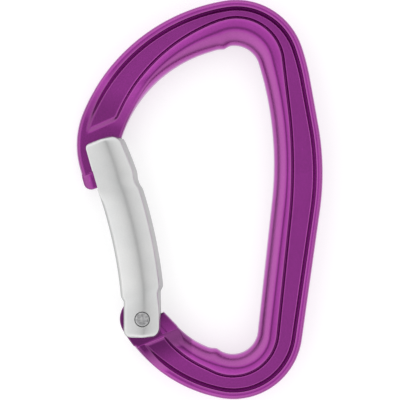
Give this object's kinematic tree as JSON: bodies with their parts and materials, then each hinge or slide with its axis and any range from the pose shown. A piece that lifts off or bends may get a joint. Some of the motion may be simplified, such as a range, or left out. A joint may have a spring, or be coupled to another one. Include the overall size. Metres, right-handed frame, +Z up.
{
  "type": "snap carabiner",
  "caption": "Asymmetric D snap carabiner with a sprung bent gate, a hooked T-head nose, a hot-forged H-section frame and two rounded rope ends.",
  "frame": {"origin": "middle of the bounding box in X and Y, on the surface that the carabiner lies on", "axes": "+Z up through the thickness, +Y along the length from the hinge end to the nose end, +X from the gate to the spine"},
  "size_m": [0.0632, 0.1024, 0.0096],
  "materials": {
    "frame_anodised": "violet anodised, satin",
    "gate_bare": "bare, tumbled and polished",
    "rivet_steel": "peened",
    "spring_steel": "bright wire",
    "pusher_steel": "turned"
  },
  "bodies": {
    "frame": {"frame": "frame_anodised"},
    "gate": {"gate": "gate_bare", "gate_rivet": "rivet_steel", "gate_spring": "spring_steel"},
    "pusher": {"spring_pusher": "pusher_steel"}
  },
  "joints": [
    {"name": "gate_hinge", "type": "hinge", "parent": "frame", "child": "gate", "pos_m": [-0.01465, -0.0306, 0.0048], "axis": [0, 0, -1], "range_deg": [0, 34.5], "stiffness_Nm_per_rad": 0.2, "springref_deg": -57.3, "deforming": ["gate_spring"]},
    {"name": "pusher_tilt", "type": "hinge", "parent": "frame", "child": "pusher", "pos_m": [-0.0113, -0.02915, 0.0048], "axis": [0, 0, -1], "range_deg": [0, 43]}
  ],
  "couplings": [
    {"joint": "pusher_tilt", "follows": "gate_hinge", "ratio": 1.22}
  ]
}
